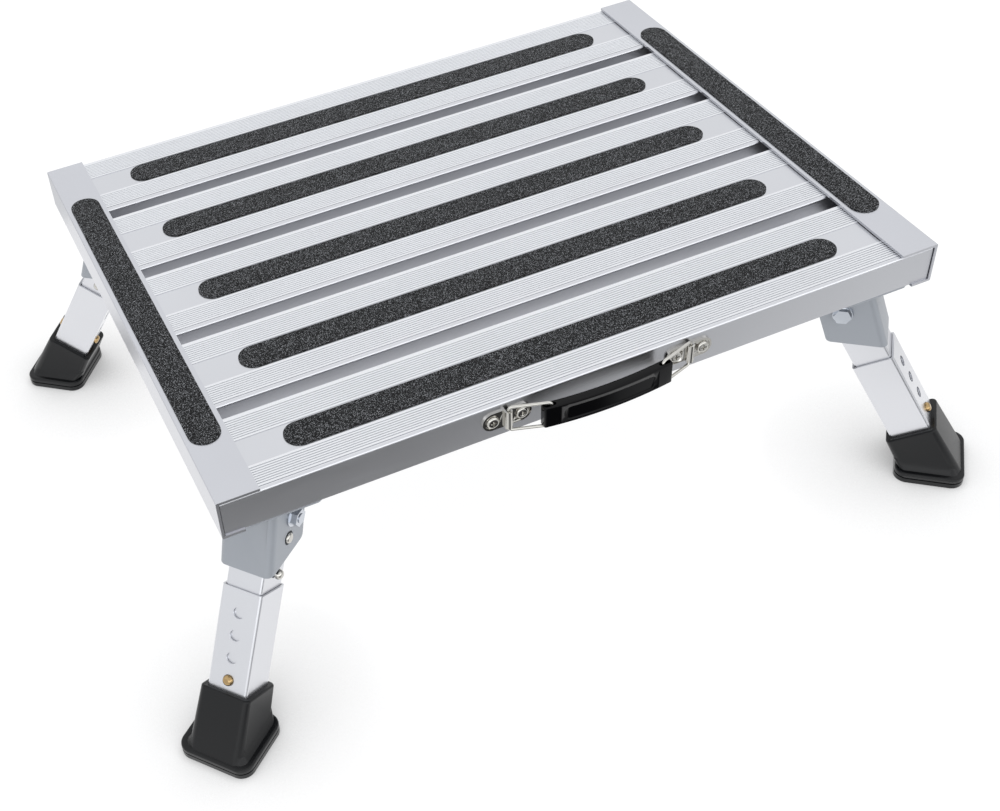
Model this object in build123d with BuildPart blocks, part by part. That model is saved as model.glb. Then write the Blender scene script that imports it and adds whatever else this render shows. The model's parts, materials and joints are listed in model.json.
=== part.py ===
from build123d import *

import os
from math import cos, radians, sin, sqrt, tan

# A caravan entry step: a slatted aluminium deck on four splayed legs. Each leg folds flat under the deck
# about its own bolt and telescopes to four heights. The origin is on the floor under the middle of the
# deck, X runs along the deck, -Y is the handle side and Z is up. Sizes are in millimetres.

# Deck
deck_length = 483.0
deck_depth = 370.0
deck_height = 190.0  # top of the end channels above the floor, with the legs at their shortest

# End channels
channel_height = 28.8
channel_wall = 1.8
channel_top_width = 26.4
channel_lip_width = 14.2
channel_corner_radius = 0.9

# Slats
slat_count = 5
slat_width = 64.0
slat_setback = 1.0  # slat faces behind the cut ends of the channels
slat_end_gap = 0.5  # slat end to channel web
slat_top_gap = 0.2  # slat top to channel flange
slat_top_wall = 2.2
slat_side_wall = 1.6
slat_foot_wall = 1.8
slat_web_wall = 1.6  # web down the middle of the slat
slat_foot_width = 12.0
slat_nose_radius = 2.2
slat_edge_radius = 1.2
band_width = 23.0  # smooth band for the tape
band_depth = 0.3
rib_pitch = 1.9
groove_width = 0.9
groove_depth = 0.35
groove_wall_angle = 60
nose_groove_setback = 2.7
nose_groove_width = 0.8
nose_groove_depth = 0.4
rib_edge_margin = 0.2  # plain strip between the ribs and the edges of their zone

# Grit tapes
tape_thickness = 0.8
slat_tape_length = 376.0
slat_tape_width = 20.0
channel_tape_length = 275.0
channel_tape_width = 20.0

# Rivets
rivet_radius = 2.0
rivet_head_radius = 4.0
rivet_head_height = 1.6
rivet_tail_radius = 2.9
rivet_tail_height = 1.5
rivet_hole_gap = 0.1

# Leg brackets
bracket_width = 36.5
bracket_wall = 2.5
bracket_drop = 47.9  # lower edge of the cheeks below the frame
bracket_lean = 19.5  # lean of the outer web from the vertical, in degrees
bracket_bend_radius = 5.0
cheek_corner_radius = 4.0
cheek_inset = 6.85  # inner end of the cheeks past the pivot, at their lower edge
mount_plate_width = 48.0
mount_plate_edge_gap = 0.8  # plate to the inner edge of the channel lip
mount_plate_corner_radius = 4.0
plate_rivet_inset = 5.5  # rivets in from the plate edge, along the deck
plate_rivet_margin = 5.0  # rivets in from the plate edge, across the deck

# Leg pivots
pivot_end_inset = 36.2  # pivot in from the end of the deck
pivot_side_inset = 34.0  # pivot in from the front or rear edge of the deck
pivot_drop = 22.8  # pivot below the underside of the frame
leg_azimuth = 39.1  # plan direction of the splay from the X axis, in degrees
leg_tilt = 30.0  # splay from the vertical, in degrees
bolt_radius = 3.0
bolt_running_gap = 0.08
bolt_end_length = 0.6  # bolt past its nut
bolt_flange_radius = 6.8
bolt_flange_thickness = 1.2
hex_flats = 10.0
hex_head_height = 3.7
nut_height = 4.6
washer_radius = 6.8
washer_thickness = 1.0
spacer_radius = 7.0
spacer_side_gap = 0.05

# Leg tubes
upper_tube_size = 25.0
upper_tube_wall = 1.2
upper_tube_corner_radius = 1.6
upper_tube_above_pivot = 12.0
upper_tube_end_inset = 4.0  # end of the upper tube short of the lower tube's end
lower_tube_wall = 1.3
telescope_gap = 0.2  # between the flat walls of the two tubes
lower_tube_corner_radius = 1.9
lower_tube_top = 50.4  # top of the lower tube below the pivot, along the leg
lower_tube_lift = 14.1  # end of the lower tube above the floor, along the leg
height_button_lift = 49.3  # lowest height hole above the floor, along the leg
height_hole_pitch = 15.0
height_hole_margin = 13.0  # least distance from a hole to the top of the lower tube
stop_gap = 0.3  # upper tube to the lower edge of the bracket web

# Height buttons and their spring
height_button_radius = 3.5
button_hole_gap = 0.15
sleeve_hole_gap = 0.25
height_button_reach = 2.6  # button past the lower tube
button_flange_radius = 4.7
button_flange_thickness = 1.0
button_tail_radius = 1.4
button_tail_gap = 0.1
spring_thickness = 0.7
spring_width = 9.0
spring_wall_gap = 0.1
spring_crown_gap = 16.5  # crown of the height spring below the bend of the lock spring
height_spring_bend = 3.0
height_spring_pad = 6.0  # straight end of each arm past the button

# Leg lock
lock_down = 14.4  # lock pin below the pivot, along the leg
lock_pin_radius = 3.5
lock_pin_reach = 1.7  # pin past the bracket cheek
lock_hole_gap = 1.1
release_down = 38.9
release_neck_radius = 2.0
release_neck_length = 2.0  # neck outside the tube
release_head_radius = 3.3
release_head_height = 4.0
lock_spring_top = 8.0
lock_spring_length = 50.0
lock_spring_return = 24.0

# Rubber feet
foot_wall = 3.5
foot_height = 41.6  # collar edge above the floor, along the leg
foot_fit_gap = 0.1
foot_taper = 2.5  # draft of the collar faces, in degrees
foot_rim_radius = 1.3
foot_corner_radius = 4.0
sole_length = 46.5  # along the splay
sole_width = 51.5
sole_inset = 3.2  # sole centre inward of the point where the leg axis meets the floor
sole_corner_radius = 9.0
sole_thickness = 8.0
sole_groove_width = 1.0
sole_groove_depth = 0.8
sole_edge_radius = 1.5
flare_height = 5.0
flare_ledge = 1.0  # flat of the sole outside the flare
flare_blend_inset = 0.6  # top of the flare inside the collar faces

# Handle
handle_drop = 14.0  # handle centre below the deck top
bridge_centre_x = 61.5
bridge_length = 32.0
bridge_width = 13.0
bridge_thickness = 1.2
bridge_screw_spacing = 19.0
wire_radius = 1.0
wire_gap = 0.25  # running gap of the wire in its bridge
wire_standoff = 2.6  # wire centre in front of the slat face
loop_height = 18.0
loop_corner_radius = 2.4
loop_pin_x = 37.1
loop_pin_standoff = 10.6
grip_length = 86.0
grip_height = 15.4
grip_thickness = 6.0
grip_end_front = 12.8  # front face at the grip's ends, in front of the slat face
grip_bow = 3.2
grip_edge_radius = 1.2
grip_panel_length = 62.0
grip_panel_height = 9.0
grip_panel_depth = 0.25
slot_gap = 0.45
slot_inner_x = 36.0
slot_outer_x = 40.6
screw_head_radius = 4.1
screw_head_height = 2.0
screw_radius = 2.0
screw_length = 9.0
screw_hole_gap = 0.1
screw_recess_width = 0.9
screw_recess_length = 4.2
screw_recess_depth = 1.1
dish_radius = 5.0
dish_depth = 0.5

# Worked-out places
frame_base = deck_height - channel_height
slat_base = frame_base + channel_wall
slat_height = channel_height - 2 * channel_wall - slat_top_gap
slat_top = slat_base + slat_height
slat_length = deck_length - 2 * (channel_wall + slat_end_gap)
slat_face = deck_depth / 2 - slat_setback
slat_pitch = (2 * slat_face - slat_width) / (slat_count - 1)
slat_centres = [-slat_face + slat_width / 2 + slat_pitch * n for n in range(slat_count)]
slat_rivet_offset = (slat_width - slat_foot_width) / 2
lip_rivet_x = deck_length / 2 - (channel_wall + channel_lip_width) / 2
plate_top = pivot_drop + channel_wall  # above the pivot
plate_base = plate_top - bracket_wall
plate_centre_x = deck_length / 2 - channel_lip_width - mount_plate_edge_gap - mount_plate_width / 2
plate_centre_y = slat_face - slat_width / 2
plate_rivet_x = mount_plate_width / 2 - plate_rivet_inset
mount_plate_depth = 2 * (slat_rivet_offset + plate_rivet_margin)
pivot_x = deck_length / 2 - pivot_end_inset
pivot_y = deck_depth / 2 - pivot_side_inset
pivot_height = frame_base - pivot_drop
lower_tube_size = upper_tube_size + 2 * (telescope_gap + lower_tube_wall)
leg_axis_floor = pivot_height / cos(radians(leg_tilt))
lower_tube_end = leg_axis_floor - lower_tube_lift
upper_tube_end = lower_tube_end - upper_tube_end_inset
foot_top = leg_axis_floor - foot_height
height_button_down = leg_axis_floor - height_button_lift
hole_room = height_button_down - lower_tube_top - height_hole_margin
height_hole_count = 1 + int(hole_room / height_hole_pitch)
cheek_outside = bracket_width / 2
cheek_inside = cheek_outside - bracket_wall
handle_height = deck_height - handle_drop
wire_line_y = -slat_face - wire_standoff
loop_pin_y = -slat_face - loop_pin_standoff

# Corners of the deck, each with the direction that its leg splays in
corners = {
    "front_left": (-pivot_x, -pivot_y, 180 + leg_azimuth),
    "front_right": (pivot_x, -pivot_y, -leg_azimuth),
    "rear_right": (pivot_x, pivot_y, leg_azimuth),
    "rear_left": (-pivot_x, pivot_y, 180 - leg_azimuth),
}
corner_places = {
    corner: Location((x, y, pivot_height), (0, 0, azimuth)) for corner, (x, y, azimuth) in corners.items()
}
splay = Location((0, 0, 0), (0, -leg_tilt, 0))

os.makedirs("parts", exist_ok=True)


def save(solid, name):
    """Label one finished piece and write it under its name."""
    solid.label = name
    export_step(solid, f"parts/{name}.step")


def rivet_points(centre_y):
    """The four rivets that hold one slat down on the channel lips."""
    return [
        (side * lip_rivet_x, centre_y + row * slat_rivet_offset) for side in (-1, 1) for row in (-1, 1)
    ]


def plate_points():
    """The rivets of the four bracket plates."""
    return [
        (
            side_x * plate_centre_x + step_x * plate_rivet_x,
            side_y * plate_centre_y + step_y * slat_rivet_offset,
        )
        for side_x in (-1, 1)
        for side_y in (-1, 1)
        for step_x in (-1, 1)
        for step_y in (-1, 1)
    ]


def handle_screw_points():
    """The handle screws, as X and height on the front slat's face."""
    return [
        (side * bridge_centre_x + step * bridge_screw_spacing / 2, handle_height)
        for side in (-1, 1)
        for step in (-1, 1)
    ]


# End channels: folded-section extrusions that cap the slat ends, with the deep web outside
for side, name in ((-1, "end_channel_left"), (1, "end_channel_right")):
    with BuildPart() as channel:
        with BuildSketch(Plane.XZ) as section:
            with Locations((side * (deck_length - channel_wall) / 2, frame_base + channel_height / 2)):
                Rectangle(channel_wall, channel_height)
            with Locations((side * (deck_length - channel_top_width) / 2, deck_height - channel_wall / 2)):
                Rectangle(channel_top_width, channel_wall)
            with Locations((side * (deck_length - channel_lip_width) / 2, frame_base + channel_wall / 2)):
                Rectangle(channel_lip_width, channel_wall)
            outer_corners = section.vertices().sort_by(Axis.X)
            fillet(outer_corners[:2] if side < 0 else outer_corners[-2:], channel_corner_radius)
        extrude(amount=deck_depth / 2, both=True)
        with BuildSketch(Plane.XY.offset(frame_base)):
            for centre_y in slat_centres:
                with Locations(*rivet_points(centre_y)):
                    Circle(rivet_radius + rivet_hole_gap)
        extrude(amount=channel_wall, mode=Mode.SUBTRACT)
    save(channel.part, name)

# Slats: one extrusion, open below between two inward feet, with fine ribs either side of a smooth band
slat_names = ("slat_front", "slat_second", "slat_middle", "slat_fourth", "slat_rear")
front_zone = (slat_width - band_width - nose_groove_width) / 2 - nose_groove_setback - 2 * rib_edge_margin
rear_zone = (slat_width - band_width) / 2 - slat_edge_radius - 2 * rib_edge_margin
front_grooves = int(front_zone / rib_pitch)
rear_grooves = int(rear_zone / rib_pitch)
for name, centre_y in zip(slat_names, slat_centres):
    with BuildPart() as slat:
        with BuildSketch(Plane.YZ.offset(-slat_length / 2)) as section:
            with Locations((centre_y, slat_base + slat_height / 2)):
                Rectangle(slat_width, slat_height)
            top_corners = section.vertices().group_by(Axis.Y)[-1].sort_by(Axis.X)
            bottom_corners = section.vertices().group_by(Axis.Y)[0]
            fillet(top_corners[0], slat_nose_radius)
            fillet([top_corners[1]] + bottom_corners, slat_edge_radius)
            cavity_height = slat_height - slat_top_wall - slat_foot_wall
            with Locations((centre_y, slat_base + slat_foot_wall + cavity_height / 2)):
                Rectangle(slat_width - 2 * slat_side_wall, cavity_height, mode=Mode.SUBTRACT)
            with Locations((centre_y, slat_base + slat_foot_wall / 2)):
                Rectangle(slat_width - 2 * slat_foot_width, slat_foot_wall, mode=Mode.SUBTRACT)
            with Locations((centre_y, slat_base + slat_height / 2)):
                Rectangle(slat_web_wall, slat_height)
            with Locations((centre_y, slat_top - band_depth / 2)):
                Rectangle(band_width, band_depth, mode=Mode.SUBTRACT)
            nose_groove_y = centre_y - slat_width / 2 + nose_groove_setback
            with Locations((nose_groove_y, slat_top - nose_groove_depth / 2)):
                Rectangle(nose_groove_width, nose_groove_depth, mode=Mode.SUBTRACT)
            front_rib_y = centre_y - band_width / 2 - rib_edge_margin - front_zone / 2
            rear_rib_y = centre_y + band_width / 2 + rib_edge_margin + rear_zone / 2
            for zone_y, count in ((front_rib_y, front_grooves), (rear_rib_y, rear_grooves)):
                with Locations((zone_y, slat_top - groove_depth / 2)):
                    with GridLocations(rib_pitch, 0, count, 1):
                        Trapezoid(
                            groove_width, groove_depth, groove_wall_angle, rotation=180, mode=Mode.SUBTRACT
                        )
        extrude(amount=slat_length)
        with BuildSketch(Plane.XY.offset(slat_base)):
            with Locations(*rivet_points(centre_y)):
                Circle(rivet_radius + rivet_hole_gap)
            if name in (slat_names[0], slat_names[-1]):
                for x, y in plate_points():
                    if abs(y - centre_y) < slat_width / 2:
                        with Locations((x, y)):
                            Circle(rivet_radius + rivet_hole_gap)
        extrude(amount=slat_foot_wall, mode=Mode.SUBTRACT)
        if name == slat_names[0]:
            with BuildSketch(Plane.XZ.offset(slat_face)):
                with Locations(*handle_screw_points()):
                    Circle(screw_radius + screw_hole_gap)
            extrude(amount=-slat_side_wall, mode=Mode.SUBTRACT)
    save(slat.part, name)

# Grit tapes: stadium-shaped strips, one in the smooth band of each slat and one on each channel
with BuildPart() as slat_tapes:
    with BuildSketch(Plane.XY.offset(slat_top - band_depth)):
        with Locations(*[(0, centre_y) for centre_y in slat_centres]):
            SlotOverall(slat_tape_length, slat_tape_width)
    extrude(amount=tape_thickness)
save(slat_tapes.part, "slat_tapes")

with BuildPart() as channel_tapes:
    with BuildSketch(Plane.XY.offset(deck_height)):
        with Locations(*[(side * (deck_length - channel_top_width) / 2, 0) for side in (-1, 1)]):
            SlotOverall(channel_tape_length, channel_tape_width, rotation=90)
    extrude(amount=tape_thickness)
save(channel_tapes.part, "channel_tapes")

# Blind rivets: domed heads below, pulled tails above the slat feet
lip_rivets = [(x, y, frame_base) for centre_y in slat_centres for x, y in rivet_points(centre_y)]
plate_rivets = [(x, y, pivot_height + plate_base) for x, y in plate_points()]
with BuildPart() as frame_rivets:
    for x, y, seat in lip_rivets + plate_rivets:
        grip_length_here = slat_base + slat_foot_wall - seat
        with BuildSketch(Plane.XY.offset(seat)):
            with Locations((x, y)):
                Circle(rivet_radius)
        extrude(amount=grip_length_here)
        with BuildSketch(Plane.XY.offset(seat)):
            with Locations((x, y)):
                Circle(rivet_head_radius)
        extrude(amount=-rivet_head_height, taper=35)
        with BuildSketch(Plane.XY.offset(seat + grip_length_here)):
            with Locations((x, y)):
                Circle(rivet_tail_radius)
        extrude(amount=rivet_tail_height, taper=20)
save(frame_rivets.part, "frame_rivets")

# Leg brackets: pressed steel, a U whose web leans outward under a plate that is riveted to the slat feet
cheek_depth = bracket_drop - pivot_drop  # lower edge of the cheeks below the pivot
bracket_rise = plate_top + cheek_depth
web_thickness = bracket_wall / cos(radians(bracket_lean))
web_outside = (
    cheek_depth * tan(radians(leg_tilt))
    + (upper_tube_size / 2 + stop_gap) / cos(radians(leg_tilt))
    + web_thickness
)
lean_direction = (-sin(radians(bracket_lean)), 0, cos(radians(bracket_lean)))
lock_x = lock_down * sin(radians(leg_tilt))
lock_z = -lock_down * cos(radians(leg_tilt))
for corner, (corner_x, corner_y, azimuth) in corners.items():
    plate_shift = Vector(
        (1 if corner_x > 0 else -1) * plate_centre_x - corner_x,
        (1 if corner_y > 0 else -1) * plate_centre_y - corner_y,
    ).rotate(Axis.Z, -azimuth)
    with BuildPart() as bracket:
        with BuildSketch(Plane.XY.offset(-cheek_depth)) as channel_section:
            with Locations((web_outside, 0)):
                Rectangle(web_outside + cheek_inset, bracket_width, align=(Align.MAX, Align.CENTER))
            fillet(channel_section.vertices().group_by(Axis.X)[-1], bracket_bend_radius)
        extrude(amount=bracket_rise / lean_direction[2], dir=lean_direction)
        with BuildSketch(Plane.XY.offset(plate_base)):
            with Locations((plate_shift.X, plate_shift.Y)):
                RectangleRounded(
                    mount_plate_width, mount_plate_depth, mount_plate_corner_radius, rotation=-azimuth
                )
        extrude(amount=bracket_wall)
        with BuildSketch(Plane.XY.offset(-cheek_depth)) as hollow_section:
            with Locations((web_outside - web_thickness, 0)):
                Rectangle(
                    web_outside - web_thickness + cheek_inset + bracket_wall,
                    2 * cheek_inside,
                    align=(Align.MAX, Align.CENTER),
                )
            fillet(hollow_section.vertices().group_by(Axis.X)[-1], bracket_bend_radius - bracket_wall)
        extrude(amount=(plate_base + cheek_depth) / lean_direction[2], dir=lean_direction, mode=Mode.SUBTRACT)
        with BuildSketch(Plane.XZ):
            Circle(bolt_radius + bolt_running_gap)
        extrude(amount=bracket_width, both=True, mode=Mode.SUBTRACT)
        with BuildSketch(Plane.XZ.offset(-cheek_inside)):
            with Locations((lock_x, lock_z)):
                Circle(lock_pin_radius + lock_hole_gap)
        extrude(amount=-bracket_wall, mode=Mode.SUBTRACT)
        with BuildSketch(Plane.XY.offset(plate_base)):
            with Locations(Location((plate_shift.X, plate_shift.Y, 0), (0, 0, -azimuth))):
                with GridLocations(2 * plate_rivet_x, 2 * slat_rivet_offset, 2, 2):
                    Circle(rivet_radius + rivet_hole_gap)
        extrude(amount=bracket_wall, mode=Mode.SUBTRACT)
        lower_corners = bracket.edges().filter_by(Axis.Y).group_by(Axis.Z)[0].sort_by(Axis.X)
        fillet(lower_corners[:2], cheek_corner_radius)
    save(bracket.part.moved(corner_places[corner]), f"bracket_{corner}")

# Pivot hardware: hex bolt, washers outside the cheeks, lock nut, and nylon spacers beside the tube
head_seat = cheek_outside + washer_thickness
bolt_length = 2 * head_seat + nut_height + bolt_end_length
spacer_thickness = cheek_inside - upper_tube_size / 2 - 2 * spacer_side_gap
with BuildPart() as bolt:
    with BuildSketch(Plane.XZ.offset(head_seat)):
        Circle(bolt_flange_radius)
    extrude(amount=bolt_flange_thickness, taper=20)
    with BuildSketch(Plane.XZ.offset(head_seat)):
        RegularPolygon(hex_flats / 2, 6, major_radius=False)
    extrude(amount=hex_head_height)
    with BuildSketch(Plane.XZ.offset(head_seat)):
        Circle(bolt_radius)
    extrude(amount=-bolt_length)

with BuildPart() as washer_pair:
    with BuildSketch(Plane.XZ.offset(cheek_outside)):
        Circle(washer_radius)
        Circle(bolt_radius + bolt_running_gap, mode=Mode.SUBTRACT)
    extrude(amount=washer_thickness)
    mirror(about=Plane.XZ)

with BuildPart() as nut:
    with BuildSketch(Plane.XZ.offset(-head_seat)):
        RegularPolygon(hex_flats / 2, 6, major_radius=False)
        Circle(bolt_radius + bolt_running_gap, mode=Mode.SUBTRACT)
    extrude(amount=-nut_height)

with BuildPart() as spacer_pair:
    with BuildSketch(Plane.XZ.offset(upper_tube_size / 2 + spacer_side_gap)):
        Circle(spacer_radius)
        Circle(bolt_radius + bolt_running_gap, mode=Mode.SUBTRACT)
    extrude(amount=spacer_thickness)
    mirror(about=Plane.XZ)

for hardware, name in (
    (bolt, "pivot_bolts"),
    (washer_pair, "pivot_washers"),
    (nut, "pivot_nuts"),
    (spacer_pair, "pivot_spacers"),
):
    with BuildPart() as hardware_set:
        with Locations(*corner_places.values()):
            add(hardware.part)
    save(hardware_set.part, name)

# Leg pieces are drawn hanging straight down from the pivot, with X outward and Y to the lock side
with BuildPart() as upper_leg:
    with BuildSketch(Plane.XY.offset(upper_tube_above_pivot)):
        RectangleRounded(upper_tube_size, upper_tube_size, upper_tube_corner_radius)
        RectangleRounded(
            upper_tube_size - 2 * upper_tube_wall,
            upper_tube_size - 2 * upper_tube_wall,
            upper_tube_corner_radius - upper_tube_wall,
            mode=Mode.SUBTRACT,
        )
    extrude(amount=-upper_tube_above_pivot - upper_tube_end)
    with BuildSketch(Plane.XZ):
        Circle(bolt_radius + bolt_running_gap)
    extrude(amount=upper_tube_size, both=True, mode=Mode.SUBTRACT)
    with BuildSketch(Plane.XZ):
        with Locations((0, -lock_down)):
            Circle(lock_pin_radius + button_hole_gap)
        with Locations((0, -release_down)):
            Circle(release_head_radius + button_hole_gap)
    extrude(amount=-upper_tube_size, mode=Mode.SUBTRACT)
    with BuildSketch(Plane.YZ):
        with Locations((0, -height_button_down)):
            Circle(height_button_radius + button_hole_gap)
    extrude(amount=upper_tube_size, both=True, mode=Mode.SUBTRACT)

with BuildPart() as lower_leg:
    with BuildSketch(Plane.XY.offset(-lower_tube_top)):
        RectangleRounded(lower_tube_size, lower_tube_size, lower_tube_corner_radius)
        RectangleRounded(
            lower_tube_size - 2 * lower_tube_wall,
            lower_tube_size - 2 * lower_tube_wall,
            lower_tube_corner_radius - lower_tube_wall,
            mode=Mode.SUBTRACT,
        )
    extrude(amount=lower_tube_top - lower_tube_end)
    with BuildSketch(Plane.YZ):
        for step in range(height_hole_count):
            with Locations((0, step * height_hole_pitch - height_button_down)):
                Circle(height_button_radius + sleeve_hole_gap)
    extrude(amount=lower_tube_size, both=True, mode=Mode.SUBTRACT)

# Height buttons: brass, with a flange inside the upper tube and a tail through the spring arm
upper_inside = upper_tube_size / 2 - upper_tube_wall
arm_outside = upper_inside - spring_wall_gap - button_flange_thickness
button_end = lower_tube_size / 2 + height_button_reach
dome_radius = (height_button_radius**2 + height_button_reach**2) / (2 * height_button_reach)


def height_button(outward):
    """One height button; outward is 1 on the outer face of the leg and -1 on the inner face."""
    facing = Plane(origin=(0, 0, -height_button_down), x_dir=(0, 0, 1), z_dir=(outward, 0, 0))
    with BuildPart() as button:
        with BuildSketch(facing.offset(arm_outside)):
            Circle(button_flange_radius)
        extrude(amount=button_flange_thickness)
        with BuildSketch(facing.offset(arm_outside)):
            Circle(height_button_radius)
        extrude(amount=button_end - arm_outside)
        fillet(button.faces().sort_by(Axis.X)[0 if outward < 0 else -1].edges(), height_button_reach * 0.9)
        with BuildSketch(facing.offset(arm_outside)):
            Circle(button_tail_radius)
        extrude(amount=-2 * spring_thickness)
    return button.part


# Height spring: a V of strip steel whose arms push the two buttons apart
arm_middle = arm_outside - spring_thickness / 2
with BuildPart() as height_spring:
    with BuildSketch(Plane.XZ) as strip:
        with BuildLine():
            spring_end = -height_button_down - height_spring_pad
            shoulder = -height_button_down + height_spring_pad
            crown = -lock_spring_top - lock_spring_length - spring_crown_gap
            FilletPolyline(
                (-arm_middle, spring_end),
                (-arm_middle, shoulder),
                (-height_spring_bend, crown),
                (height_spring_bend, crown),
                (arm_middle, shoulder),
                (arm_middle, spring_end),
                radius=height_spring_bend * 0.8,
            )
        trace(line_width=spring_thickness)
    extrude(amount=spring_width / 2, both=True)
    with BuildSketch(Plane.YZ):
        with Locations((0, -height_button_down)):
            Circle(button_tail_radius + button_tail_gap)
    extrude(amount=upper_tube_size, both=True, mode=Mode.SUBTRACT)

# Lock pin and release button: both ride on one arm of the lock spring, so pressing one draws in the other
lock_arm_outside = upper_inside - spring_wall_gap
lock_pin_end = cheek_outside + lock_pin_reach
release_head_seat = upper_tube_size / 2 + release_neck_length
with BuildPart() as lock_pin:
    with BuildSketch(Plane.XZ.offset(-lock_arm_outside)):
        with Locations((0, -lock_down)):
            Circle(lock_pin_radius)
    extrude(amount=lock_arm_outside - lock_pin_end)
    fillet(lock_pin.faces().sort_by(Axis.Y)[-1].edges(), lock_pin_reach)
    with BuildSketch(Plane.XZ.offset(-lock_arm_outside)):
        with Locations((0, -lock_down)):
            Circle(button_tail_radius)
    extrude(amount=2 * spring_thickness)

with BuildPart() as release_button:
    with BuildSketch(Plane.XZ.offset(-lock_arm_outside)):
        with Locations((0, -release_down)):
            Circle(release_neck_radius)
    extrude(amount=lock_arm_outside - release_head_seat)
    with BuildSketch(Plane.XZ.offset(-release_head_seat)):
        with Locations((0, -release_down)):
            Circle(release_head_radius)
    extrude(amount=-release_head_height)
    fillet(release_button.faces().sort_by(Axis.Y)[-1].edges(), release_head_height * 0.7)
    with BuildSketch(Plane.XZ.offset(-lock_arm_outside)):
        with Locations((0, -release_down)):
            Circle(button_tail_radius)
    extrude(amount=2 * spring_thickness)

lock_arm_middle = lock_arm_outside - spring_thickness / 2
with BuildPart() as lock_spring:
    with BuildSketch(Plane.YZ) as strip:
        with BuildLine():
            bend_z = -lock_spring_top - lock_spring_length
            FilletPolyline(
                (lock_arm_middle, -lock_spring_top),
                (lock_arm_middle, bend_z),
                (-lock_arm_middle, bend_z),
                (-lock_arm_middle, bend_z + lock_spring_return),
                radius=lock_arm_middle * 0.8,
            )
        trace(line_width=spring_thickness)
    extrude(amount=spring_width / 2, both=True)
    with BuildSketch(Plane.XZ):
        with Locations((0, -lock_down), (0, -release_down)):
            Circle(button_tail_radius + button_tail_gap)
    extrude(amount=-upper_tube_size, mode=Mode.SUBTRACT)

# Rubber foot: a square collar along the splayed leg that flares into a flat, rounded sole
leg_line = Plane(
    origin=(0, 0, 0),
    x_dir=(cos(radians(leg_tilt)), 0, sin(radians(leg_tilt))),
    z_dir=(-sin(radians(leg_tilt)), 0, cos(radians(leg_tilt))),
)
sole_x = pivot_height * tan(radians(leg_tilt)) - sole_inset
collar_size = lower_tube_size + 2 * foot_wall
collar_root = sole_thickness / 2
flare_top = sole_thickness + flare_height
flare_down = (pivot_height - flare_top) / cos(radians(leg_tilt))
flare_size = collar_size + 2 * (flare_down - foot_top) * tan(radians(foot_taper)) - 2 * flare_blend_inset
with BuildPart() as sole:
    with BuildSketch(Plane.XY.offset(-pivot_height)):
        with Locations((sole_x, 0)):
            RectangleRounded(sole_length, sole_width, sole_corner_radius)
    extrude(amount=sole_thickness)
    fillet(sole.faces().sort_by(Axis.Z)[-1].edges(), sole_edge_radius)

with BuildPart() as foot:
    with BuildSketch(leg_line.offset(-foot_top)):
        RectangleRounded(collar_size, collar_size, foot_corner_radius)
    extrude(amount=foot_top - leg_axis_floor - collar_size, taper=-foot_taper)
    fillet(foot.faces().sort_by(Axis((0, 0, 0), leg_line.z_dir))[-1].edges(), foot_rim_radius)
    split(bisect_by=Plane.XY.offset(collar_root - pivot_height), keep=Keep.TOP)
    with BuildSketch(Plane.XY.offset(sole_thickness - sole_edge_radius - pivot_height)):
        with Locations((sole_x, 0)):
            RectangleRounded(
                sole_length - 2 * (sole_edge_radius + flare_ledge),
                sole_width - 2 * (sole_edge_radius + flare_ledge),
                sole_corner_radius - sole_edge_radius - flare_ledge,
            )
    with BuildSketch(Plane.XY.offset(flare_top - pivot_height)):
        with Locations((flare_down * sin(radians(leg_tilt)), 0)):
            RectangleRounded(flare_size / cos(radians(leg_tilt)), flare_size, foot_corner_radius)
    loft()
    add(sole.part)
    with BuildSketch(leg_line.offset(-foot_top)):
        RectangleRounded(
            lower_tube_size + 2 * foot_fit_gap, lower_tube_size + 2 * foot_fit_gap, lower_tube_corner_radius
        )
    extrude(amount=foot_top - lower_tube_end - foot_fit_gap, mode=Mode.SUBTRACT)
    with BuildSketch(Plane.XY.offset(sole_thickness / 2 - sole_groove_width / 2 - pivot_height)):
        with Locations((sole_x, 0)):
            RectangleRounded(sole_length + 1, sole_width + 1, sole_corner_radius)
            RectangleRounded(
                sole_length - 2 * sole_groove_depth,
                sole_width - 2 * sole_groove_depth,
                sole_corner_radius - sole_groove_depth,
                mode=Mode.SUBTRACT,
            )
    extrude(amount=sole_groove_width, mode=Mode.SUBTRACT)

for corner, place in corner_places.items():
    leg_place = place * splay
    save(upper_leg.part.moved(leg_place), f"upper_leg_{corner}")
    save(lower_leg.part.moved(leg_place), f"lower_leg_{corner}")
    save(foot.part.moved(place), f"foot_{corner}")
    save(height_spring.part.moved(leg_place), f"height_spring_{corner}")
    save(height_button(1).moved(leg_place), f"height_button_outer_{corner}")
    save(height_button(-1).moved(leg_place), f"height_button_inner_{corner}")
    save(lock_spring.part.moved(leg_place), f"lock_spring_{corner}")
    save(lock_pin.part.moved(leg_place), f"lock_pin_{corner}")
    save(release_button.part.moved(leg_place), f"release_button_{corner}")

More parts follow.
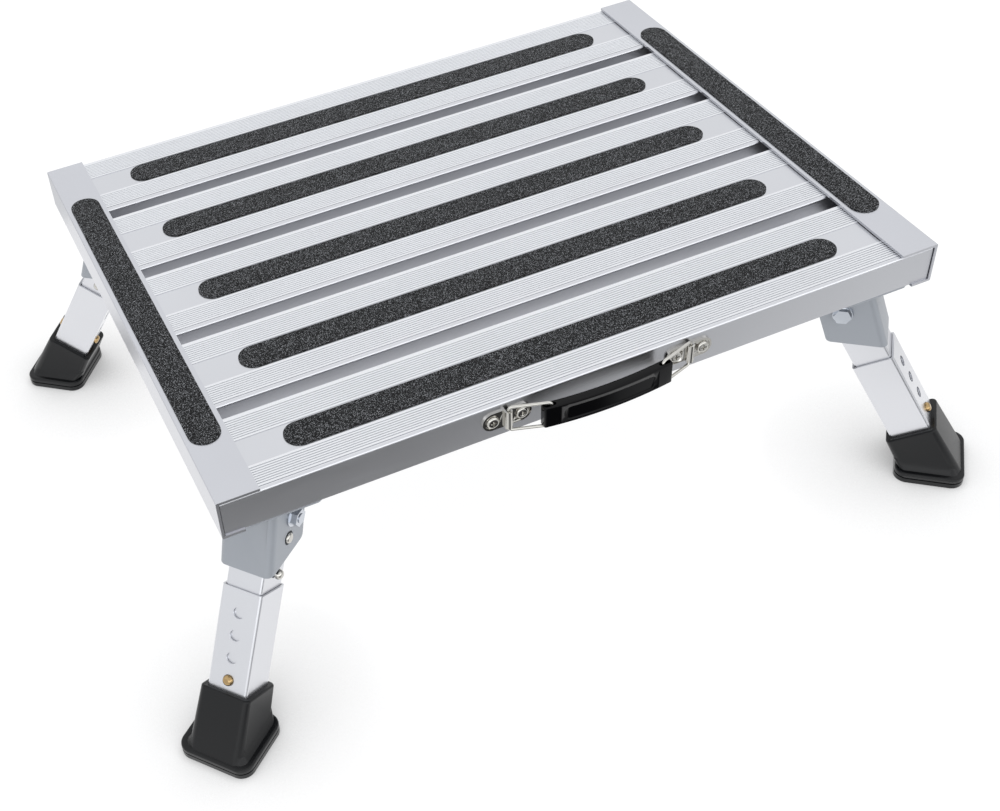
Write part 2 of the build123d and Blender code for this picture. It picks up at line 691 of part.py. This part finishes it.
# Handle bridges: nickelled straps with a dished ear at each end and a hump over the wire
hump_inside = wire_radius + wire_gap
hump_outside = hump_inside + bridge_thickness
for side, name in ((-1, "handle_bridge_left"), (1, "handle_bridge_right")):
    centre_x = side * bridge_centre_x
    with BuildPart() as bridge:
        with BuildSketch(Plane.XZ.offset(slat_face)):
            with Locations((centre_x, handle_height)):
                SlotOverall(bridge_length, bridge_width)
        extrude(amount=bridge_thickness)
        with BuildSketch(Plane.XY.offset(handle_height)):
            with Locations((centre_x, wire_line_y)):
                Circle(hump_outside)
            with Locations((centre_x, wire_line_y + wire_standoff / 2)):
                Rectangle(2 * hump_outside, wire_standoff)
        extrude(amount=bridge_width / 2, both=True)
        with BuildSketch(Plane.XY.offset(handle_height)):
            with Locations((centre_x, wire_line_y)):
                Circle(hump_inside)
            with Locations((centre_x, wire_line_y + wire_standoff / 2)):
                Rectangle(2 * hump_inside, wire_standoff)
        extrude(amount=bridge_width / 2, both=True, mode=Mode.SUBTRACT)
        with BuildSketch(Plane.XZ.offset(slat_face)):
            with Locations((centre_x, handle_height)):
                with GridLocations(bridge_screw_spacing, 0, 2, 1):
                    Circle(screw_radius + screw_hole_gap)
        extrude(amount=bridge_thickness, mode=Mode.SUBTRACT)
        with BuildSketch(Plane.XZ.offset(slat_face + bridge_thickness)):
            with Locations((centre_x, handle_height)):
                with GridLocations(bridge_screw_spacing, 0, 2, 1):
                    Circle(dish_radius)
        extrude(amount=-dish_depth, mode=Mode.SUBTRACT)
    save(bridge.part, name)

# Handle screws: domed heads with a cross recess, seated in the dished ears
screw_seat = slat_face + bridge_thickness - dish_depth
with BuildPart() as handle_screws:
    with BuildSketch(Plane.XZ.offset(screw_seat)):
        with Locations(*handle_screw_points()):
            Circle(screw_head_radius)
    extrude(amount=screw_head_height)
    fillet(handle_screws.faces().group_by(Axis.Y)[0].edges(), screw_head_height * 0.7)
    with BuildSketch(Plane.XZ.offset(screw_seat)):
        with Locations(*handle_screw_points()):
            Circle(screw_radius)
    extrude(amount=-screw_length)
    with BuildSketch(Plane.XZ.offset(screw_seat + screw_head_height)):
        with Locations(*handle_screw_points()):
            Rectangle(screw_recess_length, screw_recess_width)
            Rectangle(screw_recess_width, screw_recess_length)
    extrude(amount=-screw_recess_depth, mode=Mode.SUBTRACT)
save(handle_screws.part, "handle_screws")

# Wire loops: closed rings of round wire, each turning in its bridge and carrying one end of the grip
loop_reach = bridge_centre_x - loop_pin_x
loop_offset = wire_line_y - loop_pin_y
loop_length = sqrt(loop_reach**2 + loop_offset**2)
for side, name in ((-1, "handle_loop_left"), (1, "handle_loop_right")):
    loop_plane = Plane(
        origin=(side * bridge_centre_x, wire_line_y, handle_height),
        x_dir=(-side * loop_reach, -loop_offset, 0),
        z_dir=(-loop_offset, side * loop_reach, 0),
    )
    with BuildPart() as loop:
        with BuildLine(loop_plane) as ring:
            FilletPolyline(
                (0, loop_height / 2),
                (loop_length, loop_height / 2),
                (loop_length, -loop_height / 2),
                (0, -loop_height / 2),
                radius=loop_corner_radius,
                close=True,
            )
        with BuildSketch(Plane(origin=ring.wire() @ 0, z_dir=ring.wire() % 0)):
            Circle(wire_radius)
        sweep(path=ring.wire())
    save(loop.part, name)

# Handle grip: glossy moulding, bowed outward, with a long slot at each end for the loop and a sunk panel
grip_end_y = -slat_face - grip_end_front
grip_middle_y = grip_end_y - grip_bow
grip_ends = grip_length / 2
panel_floor = grip_middle_y + grip_panel_depth
with BuildPart() as panel:
    with BuildSketch(Plane.XZ):
        with Locations((0, handle_height)):
            SlotOverall(grip_panel_length, grip_panel_height)
    extrude(amount=-grip_middle_y + grip_panel_depth)
    with BuildSketch(Plane.XY.offset(handle_height)):
        with BuildLine():
            floor = ThreePointArc(
                (-grip_ends, grip_end_y + grip_panel_depth),
                (0, panel_floor),
                (grip_ends, grip_end_y + grip_panel_depth),
            )
            Polyline(floor @ 1, (grip_ends, 0), (-grip_ends, 0), floor @ 0)
        make_face()
    extrude(amount=grip_panel_height, both=True, mode=Mode.SUBTRACT)

with BuildPart() as grip:
    with BuildSketch(Plane.XY.offset(handle_height - grip_height / 2)):
        with BuildLine():
            front = ThreePointArc((-grip_ends, grip_end_y), (0, grip_middle_y), (grip_ends, grip_end_y))
            back = ThreePointArc(
                (grip_ends, grip_end_y + grip_thickness),
                (0, grip_middle_y + grip_thickness),
                (-grip_ends, grip_end_y + grip_thickness),
            )
            Line(front @ 1, back @ 0)
            Line(back @ 1, front @ 0)
        make_face()
    extrude(amount=grip_height)
    fillet(grip.edges().filter_by(Axis.Z), grip_edge_radius)
    long_faces = grip.faces().sort_by(Axis.Z)
    fillet(long_faces[0].edges() + long_faces[-1].edges(), grip_edge_radius / 2)
    with BuildSketch(Plane.XY.offset(handle_height)):
        for side in (-1, 1):
            with Locations((side * (slot_inner_x + slot_outer_x) / 2, loop_pin_y)):
                SlotCenterToCenter(slot_outer_x - slot_inner_x, 2 * (wire_radius + slot_gap))
    extrude(amount=grip_height, both=True, mode=Mode.SUBTRACT)
    add(panel.part, mode=Mode.SUBTRACT)
save(grip.part, "handle_grip")
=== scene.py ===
import json
from math import cos, radians

import bmesh
import bpy
from mathutils import Matrix, Vector


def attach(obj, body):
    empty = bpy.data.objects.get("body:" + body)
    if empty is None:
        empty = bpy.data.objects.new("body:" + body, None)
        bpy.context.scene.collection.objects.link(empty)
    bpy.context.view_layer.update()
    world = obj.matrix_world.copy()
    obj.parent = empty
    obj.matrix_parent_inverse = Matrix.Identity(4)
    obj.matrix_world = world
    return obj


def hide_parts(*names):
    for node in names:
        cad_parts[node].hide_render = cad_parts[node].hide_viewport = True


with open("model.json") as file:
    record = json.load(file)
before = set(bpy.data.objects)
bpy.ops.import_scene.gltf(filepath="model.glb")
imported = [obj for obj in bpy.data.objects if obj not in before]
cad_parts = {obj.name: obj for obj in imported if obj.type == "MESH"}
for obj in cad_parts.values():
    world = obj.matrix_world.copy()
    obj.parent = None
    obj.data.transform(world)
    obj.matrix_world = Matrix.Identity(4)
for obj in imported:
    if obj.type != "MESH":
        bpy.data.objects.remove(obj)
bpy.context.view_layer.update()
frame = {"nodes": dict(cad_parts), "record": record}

# The camera stands where the photograph was taken, to the left of the front and well above the
# deck. Its three directions and its place, in metres, are given in the frame of the step.
right = Vector((0.91666, -0.39115, -0.08203))
down = Vector((-0.32493, -0.60991, -0.72279))
forward = Vector((0.23269, 0.68921, -0.68618))
camera_place = (-0.3481, -0.7452, 0.775)
picture_width = 1000  # pixels
picture_height = 811
lens_axis = (348.7, 420.2)  # the pixel that the lens axis meets
focal_length = 1476.6  # in pixels
camera = bpy.data.objects.new("camera", bpy.data.cameras.new("camera"))
camera_turn = Matrix((right, -down, -forward)).transposed()
camera.matrix_world = Matrix.Translation(camera_place) @ camera_turn.to_4x4()
camera.data.sensor_width = 36
camera.data.lens = focal_length * camera.data.sensor_width / picture_width
camera.data.shift_x = (picture_width / 2 - lens_axis[0]) / picture_width
camera.data.shift_y = (lens_axis[1] - picture_height / 2) / picture_width
camera.data.clip_start = 0.01
bpy.context.scene.collection.objects.link(camera)
bpy.context.scene.camera = camera
bpy.context.scene.view_settings.view_transform = "Standard"


# The floor is a wide sheet of white acrylic, lit from above and a little from below, as on a
# product table. Close to the feet it glows less, which leaves a soft, short contact shadow.
def linear(hex_code):
    """Turn an sRGB hex colour to the linear numbers that shaders use."""
    parts = [int(hex_code[n : n + 2], 16) / 255 for n in (1, 3, 5)]
    return [c / 12.92 if c <= 0.04045 else ((c + 0.055) / 1.055) ** 2.4 for c in parts] + [1.0]


def fill(owner, inputs):
    """Give the sockets of a shader node their values or their links."""
    for name, value in inputs.items():
        if isinstance(value, bpy.types.NodeSocket):
            owner.id_data.links.new(value, owner.inputs[name])
        else:
            owner.inputs[name].default_value = value


def node(tree, kind, settings=None, inputs=None):
    """Add one shader node, with its settings and what its sockets hold or link to."""
    made = tree.nodes.new(kind)
    for name, value in (settings or {}).items():
        setattr(made, name, value)
    fill(made, inputs or {})
    return made


def material(name):
    """A new material and its Principled shader."""
    made = bpy.data.materials.new(name)
    made.use_nodes = True
    return made, made.node_tree.nodes["Principled BSDF"]


def finish_with(owner, finish):
    """Give an object one finish all over."""
    owner.data.materials.clear()
    owner.data.materials.append(finish)


floor_reach = 9  # metres each way
contact_shade_reach = 0.09
closest_contact = 0.35  # share of open sky where the contact shadow is deepest
glow_at_contact = 0.3
glow_in_open = 0.9
floor_finish, shader = material("white_acrylic")
tree = floor_finish.node_tree
open_sky = node(
    tree, "ShaderNodeAmbientOcclusion", {"samples": 4}, {"Distance": contact_shade_reach}
)
glow = node(
    tree,
    "ShaderNodeMapRange",
    inputs={
        "Value": open_sky.outputs["AO"],
        "From Min": closest_contact,
        "To Min": glow_at_contact,
        "To Max": glow_in_open,
    },
)
fill(
    shader,
    {
        "Base Color": linear("#606061"),
        "Roughness": 0.6,
        "Specular IOR Level": 0.1,
        "Emission Color": (1, 1, 1, 1),
        "Emission Strength": glow.outputs["Result"],
    },
)
floor_mesh = bpy.data.meshes.new("floor")
floor_plan = [(x * floor_reach, y * floor_reach) for x, y in ((-1, -1), (1, -1), (1, 1), (-1, 1))]
floor_mesh.from_pydata([(x, y, 0) for x, y in floor_plan], [], [(0, 1, 2, 3)])
floor = bpy.data.objects.new("floor", floor_mesh)
bpy.context.scene.collection.objects.link(floor)
finish_with(floor, floor_finish)
floor.visible_glossy = False

# A lit card lies on the floor under the deck. Only reflections see it: it brightens the edges of
# the slats that show in the gaps, as light from under the table does.
card_thickness = 0.0005
card_plan = ((-0.5, -0.3), (0.5, -0.3), (0.5, 0.4), (-0.5, 0.4))
card_finish, shader = material("lit_card")
fill(
    shader,
    {"Base Color": (0, 0, 0, 1), "Emission Color": (1, 1, 1, 1), "Emission Strength": 1.12},
)
card_mesh = bpy.data.meshes.new("lit_card")
card_mesh.from_pydata([(x, y, card_thickness) for x, y in card_plan], [], [(0, 1, 2, 3)])
card = bpy.data.objects.new("lit_card", card_mesh)
bpy.context.scene.collection.objects.link(card)
finish_with(card, card_finish)
card.visible_camera = False
card.visible_diffuse = False
card.visible_shadow = False

# The room is a soft white tent, brightest overhead and a little brighter on the left than on the
# right. A grey screen with a black card on it stands low in front: it shades the skirt and puts a
# dark streak in the bright fittings. A strip light above the screen lights the ribs and edges.
room = bpy.data.worlds.new("tent")
room.use_nodes = True
bpy.context.scene.world = room
tree = room.node_tree
directions = node(tree, "ShaderNodeTexCoord").outputs["Generated"]
axes = node(tree, "ShaderNodeSeparateXYZ", inputs={"Vector": directions})

# A ramp has an axis of direction, the places on it where it starts and ends, and its light there.
ramps = {
    "overhead": ("Z", 0.05, 0.6, 0.92, 1.22),
    "left_side": ("X", -0.6, -0.9, 1.0, 1.14),
    "right_side": ("X", 0.6, 0.92, 1.0, 0.76),
    "in_front": ("Y", -0.4, -0.62, 0.0, 1.0),
    "screen_top": ("Z", 0.0, -0.2, 0.0, 0.72),
    "screen_left": ("X", -0.3, -0.05, 0.0, 1.0),
    "screen_right": ("X", 0.6, 0.2, 0.0, 1.0),
    "card_left": ("X", 0.02, 0.12, 0.0, 1.0),
    "card_right": ("X", 0.44, 0.34, 0.0, 1.0),
    "card_top": ("Z", -0.58, -0.64, 0.0, 0.85),
    "card_bottom": ("Z", -0.82, -0.74, 0.0, 1.0),
    "strip_bottom": ("Z", 0.02, 0.15, 0.0, 1.3),
    "strip_top": ("Z", 0.6, 0.35, 0.0, 1.0),
}
light = {}
for name, (axis, start, end, light_at_start, light_at_end) in ramps.items():
    ramp = node(
        tree,
        "ShaderNodeMapRange",
        {"interpolation_type": "SMOOTHSTEP"},
        {
            "Value": axes.outputs[axis],
            "From Min": start,
            "From Max": end,
            "To Min": light_at_start,
            "To Max": light_at_end,
        },
    )
    light[name] = ramp.outputs["Result"]

# Each patch of the tent is the product of its ramps. The screen and the card take light away.
patches = {
    "screen": ("in_front", "screen_top", "screen_left", "screen_right"),
    "card": ("in_front", "card_left", "card_right", "card_top", "card_bottom"),
    "strip": ("in_front", "strip_bottom", "strip_top"),
    "tent": ("overhead", "left_side", "right_side", "past_screen", "past_card"),
}
for name, factors in patches.items():
    light[name] = light[factors[0]]
    for factor in factors[1:]:
        both = {0: light[name], 1: light[factor]}
        light[name] = node(tree, "ShaderNodeMath", {"operation": "MULTIPLY"}, both).outputs[0]
    if name in ("screen", "card"):
        rest = node(tree, "ShaderNodeMath", {"operation": "SUBTRACT"}, {0: 1.0, 1: light[name]})
        light["past_" + name] = rest.outputs[0]
brightness = node(
    tree, "ShaderNodeMath", {"operation": "ADD"}, {0: light["tent"], 1: light["strip"]}
)
fill(
    tree.nodes["Background"],
    {"Color": (0.98, 0.99, 1, 1), "Strength": brightness.outputs[0]},
)


# Deck slats: aluminium extrusions, etched and anodised to a silver-grey satin. The die leaves
# faint lines along the length, finer than a tenth of a millimetre and drawn here at 0.7 mm so
# that they show. The crests of the ribs take a paler copy of the finish as a painted highlight,
# and the grooves between them a darker copy as painted shade.
def lined_metal(name, colour, roughness, turn=(0, 0, 0), relief=0.06):
    """Metal with fine lines, left by the die or the tool, along the turned X axis."""
    line_spacing = 0.0007
    line_stretch = 0.02  # the lines are fifty times as long as they are apart
    line_depth = 0.0001
    cloud_width = 0.06  # the bath leaves clouds of this size, a little paler and darker
    cloud_contrast = 0.03
    rough_spread = 2 * relief
    made, shader = material(name)
    tree = made.node_tree
    coordinates = node(tree, "ShaderNodeTexCoord").outputs["Object"]
    turned = node(
        tree,
        "ShaderNodeMapping",
        {"vector_type": "TEXTURE"},
        {"Vector": coordinates, "Rotation": turn},
    )
    along = node(
        tree,
        "ShaderNodeMapping",
        inputs={"Vector": turned.outputs[0], "Scale": (line_stretch, 1, 1)},
    )
    lines = node(
        tree,
        "ShaderNodeTexNoise",
        inputs={"Vector": along.outputs[0], "Scale": 1 / line_spacing, "Detail": 3},
    )
    cloud = node(
        tree,
        "ShaderNodeTexNoise",
        inputs={"Vector": coordinates, "Scale": 1 / cloud_width, "Detail": 2},
    )
    rough = node(
        tree,
        "ShaderNodeMapRange",
        inputs={
            "Value": lines.outputs["Fac"],
            "To Min": roughness * (1 - rough_spread),
            "To Max": roughness * (1 + rough_spread),
        },
    )
    shade = node(
        tree,
        "ShaderNodeMix",
        {"data_type": "RGBA"},
        {
            "Factor": cloud.outputs["Fac"],
            "A": [c * (1 - cloud_contrast) for c in linear(colour)[:3]] + [1],
            "B": [min(c * (1 + cloud_contrast), 1) for c in linear(colour)[:3]] + [1],
        },
    )
    bump = node(
        tree,
        "ShaderNodeBump",
        inputs={"Height": lines.outputs["Fac"], "Strength": relief, "Distance": line_depth},
    )
    fill(
        shader,
        {
            "Base Color": shade.outputs["Result"],
            "Metallic": 1.0,
            "Roughness": rough.outputs["Result"],
            "Normal": bump.outputs["Normal"],
        },
    )
    return made


slat_finish = lined_metal("anodised_aluminium_slat", "#C6C7CB", 0.3)
# Lit and shaded copies of the slat finish: the paler crest copy is a painted highlight, and the
# darker groove copy is painted shade.
painted_highlight_crest_finish = lined_metal("anodised_aluminium_crest_painted_highlight", "#DADBDE", 0.28)
painted_shade_groove_finish = lined_metal("anodised_aluminium_groove_painted_shade", "#AFB1B5", 0.36)
painted_highlight_slot, painted_shade_slot = 1, 2
groove_depth = 0.00035
groove_wall_slope = cos(radians(60))
depth_tolerance = 0.00002
slope_tolerance = 0.01
for name in ("slat_front", "slat_second", "slat_middle", "slat_fourth", "slat_rear"):
    slat = frame["nodes"][name]
    finish_with(slat, slat_finish)
    slat.data.materials.append(painted_highlight_crest_finish)
    slat.data.materials.append(painted_shade_groove_finish)
    top = max(corner.co.z for corner in slat.data.vertices)
    for face in slat.data.polygons:
        below = top - face.center.z
        level = face.normal.z > 1 - slope_tolerance
        leaning = abs(face.normal.z - groove_wall_slope) < slope_tolerance
        groove_floor = level and abs(below - groove_depth) < depth_tolerance
        groove_wall = leaning and below < groove_depth
        # The faces of the grooves get the painted shade, and the top faces of the crests the
        # painted highlight.
        if groove_floor or groove_wall:
            face.material_index = painted_shade_slot
        elif below < depth_tolerance:
            face.material_index = painted_highlight_slot

# End channels: the same anodised aluminium, a shade darker and smooth, folded to a C. They cross
# the ends of the slats, so their die lines run from front to rear.
channel_finish = lined_metal("anodised_aluminium_channel", "#C0C1C6", 0.3, (0, 0, radians(90)))
for name in ("end_channel_left", "end_channel_right"):
    finish_with(frame["nodes"][name], channel_finish)

# Grit tapes: black film with a glued back, pressed on the slats and channels. Mineral grains of a
# third of a millimetre stand in its clear binder. Most are black; the others carry a painted
# glint, a pale grey put in their base colour.
grain_width = 0.00033
grain_height = 0.0003
dark_share = 0.8
grit_finish, shader = material("mineral_grit_tape")
tree = grit_finish.node_tree
coordinates = node(tree, "ShaderNodeTexCoord").outputs["Object"]
cells = node(
    tree, "ShaderNodeTexVoronoi", inputs={"Vector": coordinates, "Scale": 1 / grain_width}
)
grains = node(
    tree,
    "ShaderNodeTexNoise",
    inputs={"Vector": coordinates, "Scale": 1 / grain_width, "Detail": 4},
)
painted_glint = node(tree, "ShaderNodeSeparateColor", inputs={"Color": cells.outputs["Color"]})
# The grains past dark_share shade up to pale grey in the base colour: a painted glint.
tone = node(tree, "ShaderNodeValToRGB", inputs={"Fac": painted_glint.outputs["Red"]})
tone.color_ramp.elements[0].color = linear("#030304")
tone.color_ramp.elements[1].color = linear("#A6A8AC")
tone.color_ramp.elements.new(dark_share).color = linear("#0E0F11")
relief = node(
    tree,
    "ShaderNodeMath",
    {"operation": "SUBTRACT"},
    {0: grains.outputs["Fac"], 1: cells.outputs["Distance"]},
)
bump = node(
    tree,
    "ShaderNodeBump",
    inputs={"Height": relief.outputs[0], "Strength": 0.9, "Distance": grain_height},
)
fill(
    shader,
    {
        "Base Color": tone.outputs["Color"],
        "Roughness": 0.5,
        "Specular IOR Level": 0.13,
        "Normal": bump.outputs["Normal"],
    },
)
for name in ("slat_tapes", "channel_tapes"):
    finish_with(frame["nodes"][name], grit_finish)

# Frame rivets: blind rivets of bright aluminium that hold the slats to the lips of the channels
# and the brackets to the slats. They are seen only from below.
rivet_finish = lined_metal("bright_aluminium_rivet", "#C9CBCF", 0.28)
finish_with(frame["nodes"]["frame_rivets"], rivet_finish)


# Leg brackets: pressed steel, sprayed with light grey powder paint. The paint flows out to a
# faint orange peel of about a millimetre, and the press rounds the bends and edges.
def rounded_copy(name, finish):
    """A smooth-shaded copy of a CAD node, welded at its corners, that stands for the node."""
    weld_reach = 0.000001
    flat_within = 0.5  # degrees
    crease_angle = 32  # degrees, past which an edge stays sharp
    source = frame["nodes"][name]
    mesh = bpy.data.meshes.new(name + "_smooth")
    work = bmesh.new()
    work.from_mesh(source.data)
    bmesh.ops.remove_doubles(work, verts=work.verts, dist=weld_reach)
    bmesh.ops.dissolve_limit(
        work, angle_limit=radians(flat_within), verts=work.verts, edges=work.edges
    )
    work.to_mesh(mesh)
    work.free()
    mesh.shade_smooth()
    mesh.set_sharp_from_angle(angle=radians(crease_angle))
    made = bpy.data.objects.new(name + "_smooth", mesh)
    bpy.context.scene.collection.objects.link(made)
    finish_with(made, finish)
    bodies = frame["record"]["behaviour"]["bodies"]
    body = [b for b, nodes in bodies.items() if name in nodes][0]
    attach(made, body)
    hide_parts(name)


peel_width = 0.0012
peel_depth = 0.0001
paint_finish, shader = material("light_grey_powder_paint")
tree = paint_finish.node_tree
coordinates = node(tree, "ShaderNodeTexCoord").outputs["Object"]
peel = node(
    tree,
    "ShaderNodeTexNoise",
    inputs={"Vector": coordinates, "Scale": 1 / peel_width, "Detail": 1},
)
bump = node(
    tree,
    "ShaderNodeBump",
    inputs={"Height": peel.outputs["Fac"], "Strength": 0.1, "Distance": peel_depth},
)
fill(
    shader,
    {
        "Base Color": linear("#8F9399"),
        "Metallic": 0.35,
        "Roughness": 0.42,
        "Normal": bump.outputs["Normal"],
    },
)
corners = ("front_left", "front_right", "rear_left", "rear_right")
for corner in corners:
    rounded_copy("bracket_" + corner, paint_finish)

# Pivot hardware: hex bolts, washers and nuts of zinc plated steel, bright and slightly blue from
# their passivation. The bolts run through the cheeks of the brackets and the leg tubes.
zinc_finish = lined_metal("zinc_plated_steel", "#BEC2C9", 0.1, relief=0.03)
for name in ("pivot_bolts", "pivot_washers", "pivot_nuts"):
    rounded_copy(name, zinc_finish)

# Pivot spacers: cut from natural nylon tube, milky white and satin. They keep each leg tube in
# the middle of its bracket and hardly show.
nylon_finish, shader = material("natural_nylon")
fill(shader, {"Base Color": linear("#DDDCD6"), "Roughness": 0.5})
finish_with(frame["nodes"]["pivot_spacers"], nylon_finish)

# Leg tubes: square aluminium tube, bright satin anodised and paler than the deck. One slides in
# the other, and the die lines run down each leg, outwards and 60 degrees below the level.
leg_slope = 60
leg_azimuths = {
    "front_left": 219.1,
    "front_right": -39.1,
    "rear_left": 140.9,
    "rear_right": 39.1,
}
for corner in corners:
    outwards = Matrix.Rotation(radians(leg_azimuths[corner]), 3, "Z")
    leg_turn = (outwards @ Matrix.Rotation(radians(leg_slope), 3, "Y")).to_euler()
    tube_finish = lined_metal("anodised_tube_" + corner, "#CFD0D4", 0.28, leg_turn, 0.006)
    finish_with(frame["nodes"]["upper_leg_" + corner], tube_finish)
    finish_with(frame["nodes"]["lower_leg_" + corner], tube_finish)

# Height buttons: turned brass snap buttons with a polished dome, one on each face of the leg.
# They sit on the ends of a strip spring and snap through both tubes.
brass_finish = lined_metal("turned_brass", "#A98F66", 0.14, relief=0.02)
for corner in corners:
    rounded_copy("height_button_outer_" + corner, brass_finish)
    rounded_copy("height_button_inner_" + corner, brass_finish)

# Lock pins and release buttons: turned steel, nickel plated to a warm bright mirror. They stand on
# a strip spring in the upper tube. The springs are of blued steel and hardly show.
nickel_finish = lined_metal("nickel_plated_steel", "#BEBCB7", 0.08, relief=0.02)
spring_finish = lined_metal("blued_spring_strip", "#6E7076", 0.3)
for corner in corners:
    rounded_copy("lock_pin_" + corner, nickel_finish)
    rounded_copy("release_button_" + corner, nickel_finish)
    finish_with(frame["nodes"]["lock_spring_" + corner], spring_finish)
    finish_with(frame["nodes"]["height_spring_" + corner], spring_finish)

# Rubber feet: black rubber, moulded and pushed on the lower tubes. Their skin is slightly uneven
# over about a millimetre, which gives them a satin look.
skin_grain = 0.0009
skin_depth = 0.0001
rubber_finish, shader = material("black_moulded_rubber")
tree = rubber_finish.node_tree
coordinates = node(tree, "ShaderNodeTexCoord").outputs["Object"]
skin = node(
    tree,
    "ShaderNodeTexNoise",
    inputs={"Vector": coordinates, "Scale": 1 / skin_grain, "Detail": 3},
)
rough = node(
    tree,
    "ShaderNodeMapRange",
    inputs={"Value": skin.outputs["Fac"], "To Min": 0.26, "To Max": 0.42},
)
bump = node(
    tree,
    "ShaderNodeBump",
    inputs={"Height": skin.outputs["Fac"], "Strength": 0.15, "Distance": skin_depth},
)
fill(
    shader,
    {
        "Base Color": linear("#0B0C0E"),
        "Roughness": rough.outputs["Result"],
        "Specular IOR Level": 0.27,
        "Normal": bump.outputs["Normal"],
    },
)
for corner in corners:
    rounded_copy("foot_" + corner, rubber_finish)

# Carry handle: a grip moulded of glossy black plastic, with faint flow marks some 20 mm wide. It
# hangs on two wire loops, held to the front slat by pressed bridges and screws, nickel plated.
flow_width = 0.02
gloss_finish, shader = material("glossy_black_moulding")
tree = gloss_finish.node_tree
coordinates = node(tree, "ShaderNodeTexCoord").outputs["Object"]
flow = node(
    tree,
    "ShaderNodeTexNoise",
    inputs={"Vector": coordinates, "Scale": 1 / flow_width, "Detail": 1},
)
rough = node(
    tree,
    "ShaderNodeMapRange",
    inputs={"Value": flow.outputs["Fac"], "To Min": 0.07, "To Max": 0.14},
)
fill(
    shader,
    {
        "Base Color": linear("#050506"),
        "Roughness": rough.outputs["Result"],
        "Specular IOR Level": 0.12,
    },
)
rounded_copy("handle_grip", gloss_finish)
for side in ("left", "right"):
    rounded_copy("handle_bridge_" + side, nickel_finish)
for side in ("left", "right"):
    rounded_copy("handle_loop_" + side, nickel_finish)
rounded_copy("handle_screws", nickel_finish)
